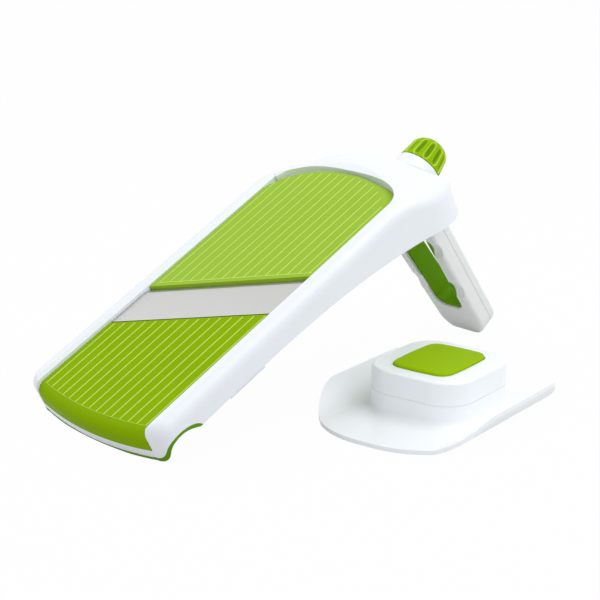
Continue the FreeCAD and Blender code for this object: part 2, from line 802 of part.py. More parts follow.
finish(on_spindle(solid_piece("knob", knob_shape())), "knob")

# Stub pins of the leg's hinge in the hood's lugs
pin_clear = "(lug_gap + 2 * lug_reach * (leg_half_top - leg_half_foot) / leg_length)"
pin_length = f"arm_width + 2 * {pin_clear} + lug_inner + lug_outer"
pin_start = f"leg_half_top - arm_width - {pin_clear} - lug_inner"
pins = []
for number, place in enumerate((pin_start, f"-({pin_start}) - ({pin_length})")):
    pin = primitive("Cylinder", f"hinge_pin_{number}", Radius="pin_radius", Height=pin_length)
    pin.Placement = Placement(Vector(), Rotation(Vector(0, 1, 0), 90))
    pins.append(bind(pin, Placement__Base__x=place))
finish(on_deck(group("leg_hinge_pins", pins), u="hinge_place", v="-hinge_drop"), "leg_hinge_pins")


# Folding leg, drawn hanging from its hinge with its rear face at +y
def leg_half(depth):
    return size("leg_half_top") - (size("leg_half_top") - size("leg_half_foot")) * depth / size("leg_length")


# Stirrup outline of the leg at an inset from its outer face, from the hinge down
def stirrup(inset, top, foot, corner):
    upper, lower = leg_half(-top) - inset, leg_half(foot) - inset
    solid = face(line((-upper, 0, top), (upper, 0, top), (lower, 0, -foot), (-lower, 0, -foot),
                      (-upper, 0, top)))
    solid.translate(Vector(0, -far / 2, 0))
    solid = solid.extrude(Vector(0, far, 0))
    corners = [e for e in solid.Edges if e.Length > far - 1 and e.BoundBox.ZMax < -foot + 1e-6]
    return solid.makeFillet(corner, corners)


def leg_shape():
    half, depth = size("leg_thick") / 2, size("leg_length")
    slab = block((-far, far), (-half, half), (-far, 0)).fuse(
        Part.makeCylinder(half, 2 * far, Vector(-far, 0, 0), Vector(1, 0, 0)))
    body = stirrup(0, 2 * half, depth, size("leg_foot_round")).common(slab).removeSplitter()
    soft = []
    for edge in body.Edges:
        box = edge.BoundBox
        flat = box.YMax - box.YMin < 1e-6 and abs(abs(box.YMax) - half) < 1e-6
        if flat and not (box.ZMin > -1e-6):
            soft.append(edge)
    body = body.makeFillet(size("leg_edge"), soft)
    body = body.cut(stirrup(size("arm_width"), 4 * half, size("loop_depth") + size("liner_thick"),
                            size("leg_foot_round") / 2))
    for place in ("scallop_upper", "scallop_lower"):
        centre = Vector(-far, size("scallop_depth") - half - size("scallop_radius"), -size(place))
        body = body.cut(Part.makeCylinder(size("scallop_radius"), 2 * far, centre, Vector(1, 0, 0)))
    floor = Part.makeBox(far, 2 * far, far, Vector(-far / 2, -far, -far))
    lean, tilt = radians(size("leg_lean")), radians(size("deck_tilt"))
    height = size("deck_rise") + size("hinge_place") * sin(tilt) - size("hinge_drop") * cos(tilt)
    floor.rotate(Vector(), Vector(1, 0, 0), -size("leg_lean"))
    floor.translate(Vector(0, -height * sin(lean), -height * cos(lean)))
    rod = Part.makeCylinder(size("pin_radius") + size("pin_run"), 2 * far, Vector(-far, 0, 0),
                            Vector(1, 0, 0))
    return body.cut([floor, rod])


leg_form = leg_shape()
rear_half = block((-far, far), (size("leg_seam"), far), (-far, -size("leg_thick")))
leg_places = []
for place in ("leg_screw_upper", "leg_screw_lower"):
    for way in ("-", ""):
        inner_x = f"(leg_half_top - (leg_half_top - leg_half_foot) * {place} / leg_length - arm_width / 2)"
        leg_places.append((way + inner_x, "leg_thick / 2 - head_height", "-" + place))
leg_screws, leg_holes = screws("leg_screws", leg_places, "leg_screw_length", Rotation(Vector(1, 0, 0), 90))
front_form = solid_piece("leg_front_form", leg_form.cut(rear_half))
seam_line = block((-far, far), (size("leg_seam"), size("leg_seam") + size("seam_gap")), (-far, far))
seam_line = seam_line.cut(stirrup(size("seam_depth"), far / 4, size("leg_length"), size("leg_foot_round")))
rear_form = solid_piece("leg_rear_form", leg_form.common(rear_half).cut(seam_line))
finish(on_hinge(cut("leg_front_shell", front_form, leg_holes)), "leg_front_shell")
finish(on_hinge(cut("leg_rear_shell", rear_form, leg_holes)), "leg_rear_shell")
finish(on_hinge(leg_screws), "leg_screws")


# Soft liner on the inner faces of the leg's loop
def liner_shape():
    half = size("leg_thick") / 2 - size("leg_edge") / 2
    start = -size("liner_start")
    thick, corner = size("liner_thick"), size("leg_foot_round") / 2
    outer = stirrup(size("arm_width"), 0, size("loop_depth") + thick, corner)
    inner = stirrup(size("arm_width") + thick, far / 20, size("loop_depth"), corner - thick)
    return outer.cut(inner).common(block((-far, far), (-half, half), (-far, start)))


finish(on_hinge(solid_piece("leg_grip_liner", liner_shape())), "leg_grip_liner")


# Square with softly bowed sides and round corners
def cushion(grow, low, high):
    x, y, bulge = size("cap_half_x") + grow, size("cap_half_y") + grow, size("cap_bulge")
    edges = arc((-x, -y, 0), (0, -y - bulge, 0), (x, -y, 0)) + arc((-x, y, 0), (0, y + bulge, 0), (x, y, 0))
    edges += arc((-x, -y, 0), (-x - bulge, 0, 0), (-x, y, 0)) + arc((x, -y, 0), (x + bulge, 0, 0), (x, y, 0))
    solid = rising(edges, low, high)
    upright = [e for e in solid.Edges if e.BoundBox.ZMax - e.BoundBox.ZMin > high - low - 1e-6]
    return solid.makeFillet(size("cap_corner") + grow, upright)


def guard_ring(inset, low, high):
    return rising(rounded(size("block_half_x") - inset, size("block_half_y") - inset,
                          size("block_corner") - inset), low, high)


def guard_posts(low, high):
    posts = []
    for way_x in (-1, 1):
        for way_y in (-1, 1):
            place = Vector(way_x * size("guard_post_x"), way_y * size("guard_post_y"), low)
            posts.append(Part.makeCylinder(size("guard_post_radius"), high - low, place))
    return posts


# Guard base: a trough-shaped flange with the lower half of its square holder and the stem's bridge
def flange_shape():
    half, flat = size("flange_half"), size("flange_flat")
    rise, sheet = size("flange_rise"), size("flange_sheet")
    front, rear = size("flange_front"), size("flange_rear")

    def side(way, lift):
        return curve([(way * flat, 0, lift), (way * (flat + half) / 2, 0, lift + rise / 4),
                      (way * half, 0, lift + rise)], first=(way, 0, 0))

    edges = side(1, 0) + side(-1, 0) + side(1, sheet) + side(-1, sheet)
    edges += line((-flat, 0, 0), (flat, 0, 0)) + line((-flat, 0, sheet), (flat, 0, sheet))
    edges += line((-half, 0, rise), (-half, 0, sheet + rise)) + line((half, 0, rise), (half, 0, sheet + rise))
    trough = face(edges)
    trough.translate(Vector(0, -far / 2, 0))
    trough = trough.extrude(Vector(0, far, 0))
    plan = block((-half, half), (-front, rear), (-far / 4, far / 4))
    near = [e for e in plan.Edges if e.BoundBox.ZLength > far / 4 and e.BoundBox.YMax < 0]
    plan = plan.makeFillet(size("flange_corner_front"), near)
    back = [e for e in plan.Edges if e.BoundBox.ZLength > far / 4 and e.BoundBox.YMin > rear - 1e-6]
    plan = plan.makeFillet(size("flange_corner_rear"), back)
    body = trough.common(plan).fuse(guard_ring(0, 0, size("block_seam"))).removeSplitter()
    foot = []
    for edge in body.Edges:
        place = edge.valueAt((edge.FirstParameter + edge.LastParameter) / 2)
        inside = abs(place.x) < size("block_half_x") + 1 and abs(place.y) < size("block_half_y") + 1
        if inside and sheet - 1e-6 < place.z < size("block_seam") / 2 and edge.BoundBox.ZLength < sheet:
            foot.append(edge)
    body = body.makeFillet(size("guard_round"), foot)
    wall = size("block_wall")
    body = body.cut(guard_ring(wall, -far / 4, far / 4))
    bridge = block((-far, far), (-size("bridge_half"), size("bridge_half")),
                   (size("bridge_low"), size("bridge_low") + size("bridge_thick")))
    kept = guard_ring(wall / 2, -far / 4, far / 4)
    posts = guard_posts(size("flange_sheet") + size("head_height"), size("block_seam"))
    body = body.fuse([bridge.common(kept)] + posts)
    stem = Part.makeCylinder(size("stem_radius") + size("slide_fit"), far, Vector(0, 0, -far / 2))
    return body.cut(stem).removeSplitter()


guard_places = [(f"{way_x}guard_post_x", f"{way_y}guard_post_y", "flange_sheet + head_height")
                for way_x in ("-", "") for way_y in ("-", "")]
guard_shank = "block_seam - flange_sheet + head_height * 2"
guard_screws, guard_holes = screws("guard_lid_screws", guard_places, guard_shank)
flange_form = solid_piece("flange_form", flange_shape())
finish(on_guard(cut("guard_flange", flange_form, guard_holes)), "guard_flange")


# Guard lid: upper half of the holder with the press cap's opening
def lid_shape():
    seam, top, wall = size("block_seam"), size("block_top"), size("block_wall")
    body = guard_ring(0, seam, top)
    brow = [e for e in body.Edges if e.BoundBox.ZMin > top - 1e-6]
    body = body.makeFillet(size("lid_edge"), brow)
    seam_line = guard_ring(-wall, seam, seam + size("seam_gap"))
    seam_line = seam_line.cut(guard_ring(size("seam_depth"), seam, top))
    body = body.cut([guard_ring(wall, seam, top - wall), seam_line])
    body = body.fuse(guard_posts(seam, top - wall / 2))
    return body.cut(cushion(size("cap_fit"), seam, far)).removeSplitter()


finish(on_guard(cut("guard_lid", solid_piece("lid_form", lid_shape()), guard_holes)), "guard_lid")
finish(on_guard(guard_screws), "guard_lid_screws")


# Press cap with the lip that holds it under the lid
def cap_shape():
    low, top = size("cap_lip_low"), size("block_top") + size("cap_proud")
    wall = size("block_wall")
    body = cushion(0, low, top)
    brow = [e for e in body.Edges if e.BoundBox.ZMin > top - 1e-6]
    body = body.makeFillet(size("cap_edge"), brow)
    body = body.fuse(cushion(size("cap_lip"), low, low + size("cap_lip")))
    return body.cut(cushion(-wall, 0, top - wall)).removeSplitter()


finish(on_guard(solid_piece("press_cap", cap_shape())), "press_cap")
stem = primitive("Cylinder", "press_stem", Radius="stem_radius",
                 Height="block_top + cap_proud - block_wall - prong_plate_low - prong_plate_thick")
finish(bind(on_guard(stem), Placement__Base__z="prong_plate_low + prong_plate_thick"), "press_stem")
prong_plate = padded("prong_plate", [
    ("-prong_plate_half_x", "-prong_plate_half_y"), ("prong_plate_half_x", "-prong_plate_half_y"),
    ("prong_plate_half_x", "prong_plate_half_y"), ("-prong_plate_half_x", "prong_plate_half_y")],
    "prong_plate_thick")
finish(bind(on_guard(prong_plate), Placement__Base__z="prong_plate_low"), "prong_plate")


# Food prongs under their plate, on a square pitch
def prong_shapes():
    radius, pitch = size("prong_radius"), size("prong_pitch")
    root, tip = size("prong_plate_low"), size("prong_tip")
    steps = (-1.5, -0.5, 0.5, 1.5)
    point = tip + 2 * radius
    made = []
    for step_x in steps:
        for step_y in steps:
            place = Vector(step_x * pitch, step_y * pitch, point)
            shank = Part.makeCylinder(radius, root - point, place)
            cone = Part.makeCone(radius / 4, radius, point - tip, Vector(place.x, place.y, tip))
            made.append(shank.fuse(cone).removeSplitter())
    return Part.makeCompound(made)


finish(on_guard(solid_piece("prongs", prong_shapes())), "prongs")


# Return spring between the bridge and the cap
def spring_shape():
    wire, radius = size("spring_wire"), size("spring_radius")
    low = size("bridge_low") + size("bridge_thick") + wire
    high = size("block_top") + size("cap_proud") - size("block_wall") - wire
    path = Part.makeHelix((high - low) / size("spring_turns"), high - low, radius)
    path.translate(Vector(0, 0, low))
    ring = Part.Wire(Part.makeCircle(wire, Vector(radius, 0, low), Vector(0, 1, 0)))
    return Part.Wire(path).makePipeShell([ring], True, True)


finish(on_guard(solid_piece("press_spring", spring_shape())), "press_spring")

# Check every object and write one file for each piece
doc.recompute()
for item in doc.Objects:
    if "Invalid" in item.State or "Error" in item.State:
        raise RuntimeError(f"{item.Name} did not build: {item.State}")
os.makedirs("parts", exist_ok=True)
for piece in pieces:
    if piece.Shape.isNull() or not piece.Shape.isValid() or not piece.Shape.Solids:
        raise RuntimeError(f"{piece.Label} has no sound solid")
    piece.Shape.exportStep(f"parts/{piece.Label}.step")
    box = piece.Shape.optimalBoundingBox(False)
    print(piece.Label, len(piece.Shape.Solids), round(piece.Shape.Volume),
          [round(n, 1) for n in (box.XMin, box.XMax, box.YMin, box.YMax, box.ZMin, box.ZMax)])
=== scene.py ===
import json
import math

import bmesh
import bpy
from mathutils import Matrix, Vector


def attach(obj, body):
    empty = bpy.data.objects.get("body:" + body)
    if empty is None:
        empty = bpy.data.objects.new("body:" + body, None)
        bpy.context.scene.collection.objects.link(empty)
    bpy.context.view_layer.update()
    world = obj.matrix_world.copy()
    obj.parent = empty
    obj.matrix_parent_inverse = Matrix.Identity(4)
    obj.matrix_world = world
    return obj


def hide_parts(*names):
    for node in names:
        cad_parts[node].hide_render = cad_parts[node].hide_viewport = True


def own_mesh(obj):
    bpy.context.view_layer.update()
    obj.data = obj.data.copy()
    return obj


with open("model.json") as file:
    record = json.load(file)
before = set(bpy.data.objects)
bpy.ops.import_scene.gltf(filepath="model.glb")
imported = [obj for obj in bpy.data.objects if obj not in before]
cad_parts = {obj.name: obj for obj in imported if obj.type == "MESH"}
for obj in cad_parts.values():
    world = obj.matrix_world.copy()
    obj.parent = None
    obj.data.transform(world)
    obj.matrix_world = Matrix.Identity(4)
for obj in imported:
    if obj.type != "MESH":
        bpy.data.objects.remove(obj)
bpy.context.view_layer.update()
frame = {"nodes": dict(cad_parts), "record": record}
scene = bpy.context.scene
nodes = frame["nodes"]
behaviour = frame["record"]["behaviour"]
joints = {joint["name"]: joint for joint in behaviour["joints"]}
bodyOf = {node: body for body, members in behaviour["bodies"].items() for node in members}
mm = 0.001
weld = 0.02 * mm  # points nearer than this are one
print("frame loaded:", len(nodes), "nodes")

# directions: the deck's from the joint that lets the runway plate down, the spindle's from the knob's turn
across = Vector((1, 0, 0))
deckUp = -Vector(joints["runway_fall"]["axis"])
deckAlong = deckUp.cross(across)
spindleOut = Vector(joints["knob_turn"]["axis"])
spindleRoot = Vector(joints["knob_turn"]["pos_m"])
# x across, y along the deck, z off it
fromDeck = Matrix((across, deckAlong, deckUp)).transposed().to_4x4()


# lowest and highest point of a node along a direction, of its points near one x where that is given
def reach(node, way, x=None):
    near = 0.5 * mm
    marks = [v.co.dot(way) for v in nodes[node].data.vertices if x is None or abs(v.co.x - x) < near]
    return min(marks), max(marks)


# linear colour from an sRGB hex value
def fromHex(text):
    channels = [int(text[i:i + 2], 16) / 255 for i in (1, 3, 5)]
    linear = [c / 12.92 if c <= 0.04045 else ((c + 0.055) / 1.055) ** 2.4 for c in channels]
    return (*linear, 1.0)


# add a node: settings by name or socket number, feeds in socket order, links by socket name;
# a node given as a source stands for its first output
def addNode(tree, kind, settings=None, feeds=(), **links):
    node = tree.nodes.new(kind)
    for key, value in (settings or {}).items():
        if isinstance(key, str) and hasattr(node, key):
            setattr(node, key, value)
        else:
            node.inputs[key].default_value = value
    named = [(name.replace("_", " "), source) for name, source in links.items()]
    for key, source in [*enumerate(feeds), *named]:
        if isinstance(source, bpy.types.Node):
            source = source.outputs[0]
        if isinstance(source, bpy.types.NodeSocket):
            tree.links.new(source, node.inputs[key])
        else:
            node.inputs[key].default_value = source
    return node


# a material with its shader set by input names, and the coordinates that its patterns read
def startMaterial(name, **shaderSettings):
    material = bpy.data.materials.new(name)
    material.use_nodes = True
    tree = material.node_tree
    shader = tree.nodes["Principled BSDF"]
    for key, value in shaderSettings.items():
        shader.inputs[key.replace("_", " ")].default_value = value
    place = addNode(tree, "ShaderNodeTexCoord").outputs["Object"]
    return material, tree, shader, place


# a moulded plastic: faint flow mottling in colour and gloss, and in the bump the mould's spark-eroded
# grain, drawn coarser than the real one so that it shows
def mouldedPlastic(name, colour, shade, look):
    material, tree, shader, place = startMaterial(
        name, IOR=1.53, Metallic=0.0, Specular_IOR_Level=look["shine"],
        Coat_Weight=look["coat"], Coat_Roughness=0.15)
    flow = addNode(tree, "ShaderNodeTexNoise", {"Scale": 1 / (look["flowMm"] * mm), "Detail": 3.0},
                   Vector=place)
    tint = addNode(tree, "ShaderNodeMix", {"data_type": "RGBA", 6: fromHex(colour), 7: fromHex(shade)},
                   [flow.outputs["Fac"]])
    tree.links.new(tint.outputs[2], shader.inputs["Base Color"])
    gloss = addNode(tree, "ShaderNodeMapRange", {"To Min": look["roughLow"], "To Max": look["roughHigh"]},
                    Value=flow.outputs["Fac"])
    tree.links.new(gloss.outputs["Result"], shader.inputs["Roughness"])
    grain = addNode(tree, "ShaderNodeTexNoise", {"Scale": 1 / (look["grainMm"] * mm), "Detail": 2.0},
                    Vector=place)
    bump = addNode(tree, "ShaderNodeBump", {"Strength": look["grain"], "Distance": look["depthMm"] * mm},
                   Height=grain.outputs["Fac"])
    tree.links.new(bump.outputs["Normal"], shader.inputs["Normal"])
    return material


glossLook = {"shine": 0.5, "coat": 0.15, "flowMm": 38, "roughLow": 0.28, "roughHigh": 0.36,
             "grainMm": 0.9, "grain": 0.06, "depthMm": 0.05}
satinLook = {"shine": 0.4, "coat": 0.0, "flowMm": 30, "roughLow": 0.42, "roughHigh": 0.52,
             "grainMm": 0.7, "grain": 0.12, "depthMm": 0.05}
plateLook = {"shine": 0.25, "coat": 0.0, "flowMm": 34, "roughLow": 0.3, "roughHigh": 0.38,
             "grainMm": 0.9, "grain": 0.06, "depthMm": 0.05}
deepLook = {"shine": 0.008, "coat": 0.0, "flowMm": 34, "roughLow": 0.34, "roughHigh": 0.42,
            "grainMm": 0.9, "grain": 0.08, "depthMm": 0.05}
softLook = {"shine": 0.06, "coat": 0.0, "flowMm": 20, "roughLow": 0.5, "roughHigh": 0.6,
            "grainMm": 0.6, "grain": 0.2, "depthMm": 0.05}

# ABS from a polished mould: a cool white gloss on the body, a clearer white on the guard
whiteAbs = mouldedPlastic("mouldedWhiteAbs", "#F1F3F6", "#ECEEF2", glossLook)
guardAbs = mouldedPlastic("mouldedBrightWhiteAbs", "#FBFCFD", "#F7F9FB", glossLook)
# ABS from an eroded mould: a satin white, a little warmer, on the leg
legAbs = mouldedPlastic("mouldedWarmWhiteAbs", "#F1F1EE", "#ECECE9", satinLook)
# dyed ABS: a deep lime with little sheen on the landing plate, brighter on the press cap and the knob
limeAbs = mouldedPlastic("mouldedLimeAbs", "#8DB106", "#86AA04", deepLook)
capAbs = mouldedPlastic("mouldedBrightLimeAbs", "#9BC006", "#95BA04", deepLook)
knobAbs = mouldedPlastic("mouldedKnobAbs", "#93B80E", "#8CB00A", deepLook)
# the same ABS with more shine and a paler base colour of painted light: the runway plate
paintedLightLimeAbs = mouldedPlastic("mouldedLimeAbsPaintedLight", "#98BD10", "#92B70B", plateLook)
# the rib crests get a pale lime as painted highlight lines
crestHighlightAbs = mouldedPlastic("paintedHighlightLimeAbs", "#C6E35C", "#BEDB52", plateLook)
# a dark lime painted on as the slot's shade, left rough, where it reads as a dark line
slotShadeAbs = mouldedPlastic("paintedShadeLimeAbs", "#34460B", "#2E3F08", softLook)
# soft elastomer: a dull, darker green on the foot strip and the leg's liner
greenGrip = mouldedPlastic("mouldedGreenElastomer", "#66990A", "#5E9007", softLook)
# acetal of the hidden sliding pieces: a plain satin grey
greyAcetal = mouldedPlastic("mouldedGreyAcetal", "#C8CACB", "#BFC1C3", satinLook)


# steel: scratches one way, drawn wider than real ones so that they show, and a slightly greyer band of
# painted shade along one side where its place is given
def groundSteel(name, colour, look, band=None):
    material, tree, shader, place = startMaterial(name, Metallic=1.0, Base_Color=fromHex(colour))
    if band:
        along = addNode(tree, "ShaderNodeVectorMath", {"operation": "DOT_PRODUCT"}, [place, band["way"]])
        share = addNode(tree, "ShaderNodeMapRange", {"From Min": band["start"], "From Max": band["end"]},
                        Value=along.outputs["Value"])
        tint = addNode(tree, "ShaderNodeMix",
                       {"data_type": "RGBA", 6: fromHex(colour), 7: fromHex(band["colour"])},
                       [share.outputs["Result"]])
        tree.links.new(tint.outputs[2], shader.inputs["Base Color"])
    turned = addNode(tree, "ShaderNodeMapping", {"Rotation": (0, 0, -look["turn"])}, Vector=place)
    fine = 1 / (look["widthMm"] * mm)
    lines = addNode(tree, "ShaderNodeMapping", {"Scale": (1 / (look["lengthMm"] * mm), fine, fine)},
                    Vector=turned.outputs["Vector"])
    scratch = addNode(tree, "ShaderNodeTexNoise", {"Scale": 1.0, "Detail": 2.0},
                      Vector=lines.outputs["Vector"])
    gloss = addNode(tree, "ShaderNodeMapRange", {"To Min": look["roughLow"], "To Max": look["roughHigh"]},
                    Value=scratch.outputs["Fac"])
    tree.links.new(gloss.outputs["Result"], shader.inputs["Roughness"])
    bump = addNode(tree, "ShaderNodeBump", {"Strength": look["grain"], "Distance": look["depthMm"] * mm},
                   Height=scratch.outputs["Fac"])
    tree.links.new(bump.outputs["Normal"], shader.inputs["Normal"])
    return material


# stainless steel ground along the blade's slant: a soft grey sheen drawn out one way
bladeLook = {"turn": math.radians(23.5), "lengthMm": 22, "widthMm": 0.35, "roughLow": 0.3,
             "roughHigh": 0.42, "grain": 0.08, "depthMm": 0.03,
             "bandMm": 6.5, "softMm": 1.2, "shadeColour": "#BCBEBC"}
# the greyer band is painted shade along the blade's edge under the runway plate
bladeAcross = deckAlong * math.cos(bladeLook["turn"]) - across * math.sin(bladeLook["turn"])
bandStart = reach("blade", bladeAcross)[1] - bladeLook["bandMm"] * mm
bladeShadeBand = {"way": bladeAcross, "start": bandStart, "end": bandStart + bladeLook["softMm"] * mm,
             "colour": bladeLook["shadeColour"]}
bladeSteel = groundSteel("groundStainlessSteel", "#BFBFBD", bladeLook, bladeShadeBand)
# zinc plated steel of the screws and pins: an even, cooler grey
zincLook = {"turn": 0.0, "lengthMm": 1.2, "widthMm": 0.4, "roughLow": 0.28, "roughHigh": 0.4,
            "grain": 0.08, "depthMm": 0.03}
zincSteel = groundSteel("zincPlatedSteel", "#BFC1C4", zincLook)


# the knob's lime is painted pale round the rim of each flute as highlight and dark down in it as shade, by
# the flutes' own attribute
fluteHighlightAndShade = [{"colour": "#BBDD45", "start": 0.0, "full": 0.14},
              {"colour": "#6C9607", "start": 0.3, "full": 0.8}]
tree = knobAbs.node_tree
shader = tree.nodes["Principled BSDF"]
fluteMark = addNode(tree, "ShaderNodeAttribute", {"attribute_name": "fluteMark"}).outputs["Fac"]
for tone in fluteHighlightAndShade:
    before = shader.inputs["Base Color"].links[0].from_socket
    share = addNode(tree, "ShaderNodeMapRange", {"From Min": tone["start"], "From Max": tone["full"]},
                    Value=fluteMark)
    tint = addNode(tree, "ShaderNodeMix", {"data_type": "RGBA", 7: fromHex(tone["colour"])},
                   [share.outputs["Result"]])
    tree.links.new(before, tint.inputs[6])
    tree.links.new(tint.outputs[2], shader.inputs["Base Color"])
print("materials made")

# what each CAD node is made of; the nodes not named here are zinc plated
finishes = {
    "main_frame": whiteAbs, "under_brace": whiteAbs, "guard_flange": guardAbs, "guard_lid": guardAbs,
    "leg_front_shell": legAbs, "leg_rear_shell": legAbs,
    "landing_plate": limeAbs, "knob": limeAbs, "press_cap": capAbs, "runway_plate": paintedLightLimeAbs,
    "foot_strip": greenGrip, "leg_grip_liner": greenGrip, "blade": bladeSteel,
    "lift_bracket": greyAcetal, "lift_nut": greyAcetal, "spindle_bush": greyAcetal,
    "press_stem": greyAcetal, "prong_plate": greyAcetal,
}
for name, node in nodes.items():
    node.data.materials.clear()
    node.data.materials.append(finishes.get(name, zincSteel))


# an empty tree of Geometry Nodes that takes numbers and a material by name
def startTree(name, numbers):
    tree = bpy.data.node_groups.new(name, "GeometryNodeTree")
    tree.interface.new_socket("Geometry", in_out="INPUT", socket_type="NodeSocketGeometry")
    tree.interface.new_socket("Geometry", in_out="OUTPUT", socket_type="NodeSocketGeometry")
    for label in numbers:
        tree.interface.new_socket(label, in_out="INPUT", socket_type="NodeSocketFloat")
    tree.interface.new_socket("Material", in_out="INPUT", socket_type="NodeSocketMaterial")
    return tree, tree.nodes.new("NodeGroupInput").outputs


# join the parts, make them real and smooth, and give them the material
def endTree(tree, given, *parts):
    joined = addNode(tree, "GeometryNodeJoinGeometry")
    for part in parts:
        tree.links.new(part.outputs[0], joined.inputs[0])
    solid = addNode(tree, "GeometryNodeRealizeInstances", None, [joined])
    smooth = addNode(tree, "GeometryNodeSetShadeSmooth", None, [solid])
    painted = addNode(tree, "GeometryNodeSetMaterial", None, Geometry=smooth, Material=given["Material"])
    addNode(tree, "NodeGroupOutput", None, [painted])


# run a tree on a piece's numbers and keep the result as one plain mesh in the row frame
def bakePiece(name, tree, numbers, material, turn, body, marks=()):
    start = bpy.data.meshes.new(name + "Start")
    start.from_pydata(marks, [], [])
    holder = bpy.data.objects.new(name + "Holder", start)
    scene.collection.objects.link(holder)
    modifier = holder.modifiers.new(name, "NODES")
    modifier.node_group = tree
    values = dict(numbers, Material=material)
    for socket in tree.interface.items_tree:
        if socket.in_out == "INPUT" and socket.name in values:
            modifier[socket.identifier] = values[socket.name]
    mesh = bpy.data.meshes.new_from_object(holder.evaluated_get(bpy.context.evaluated_depsgraph_get()))
    bpy.data.objects.remove(holder)
    mesh.transform(turn)
    mesh.name = name
    piece = bpy.data.objects.new(name, mesh)
    scene.collection.objects.link(piece)
    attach(piece, body)
    print(name, len(mesh.polygons), "faces")
    return piece


# marks on a node's separate solids, in a turned frame: the middle's x and y with the highest z;
# also gives how tall the solids are
def solidTops(node, turn):
    merged = bmesh.new()
    merged.from_mesh(nodes[node].data)
    bmesh.ops.remove_doubles(merged, verts=merged.verts, dist=weld)
    tops, seen = [], set()
    for vert in merged.verts:
        if vert in seen:
            continue
        island, waiting = [], [vert]
        seen.add(vert)
        while waiting:
            here = waiting.pop()
            island.append(turn.inverted() @ here.co)
            near = {edge.other_vert(here) for edge in here.link_edges} - seen
            seen |= near
            waiting += near
        spans = [(min(p[i] for p in island), max(p[i] for p in island)) for i in range(3)]
        tops.append(((spans[0][0] + spans[0][1]) / 2, (spans[1][0] + spans[1][1]) / 2, spans[2][1]))
    merged.free()
    return tops, spans[2][1] - spans[2][0]


# sizes in millimetres; the border runs along the ribs' start, through a row of marks
ribLook = {"pitch": 6.72, "count": 15, "halfWidth": 0.42, "rise": 0.3, "nose": 0.8, "noseShare": 0.3,
           "sides": 12, "borderHalf": 0.45, "lipBorder": 0.15, "borderMarks": 61,
           "sideMargin": 2.6, "lipRoll": 6.5, "bladeMargin": 1.0, "runwayMargin": 3.2,
           "endRound": 38.0, "endMargin": 3.2, "endPower": 2.2}


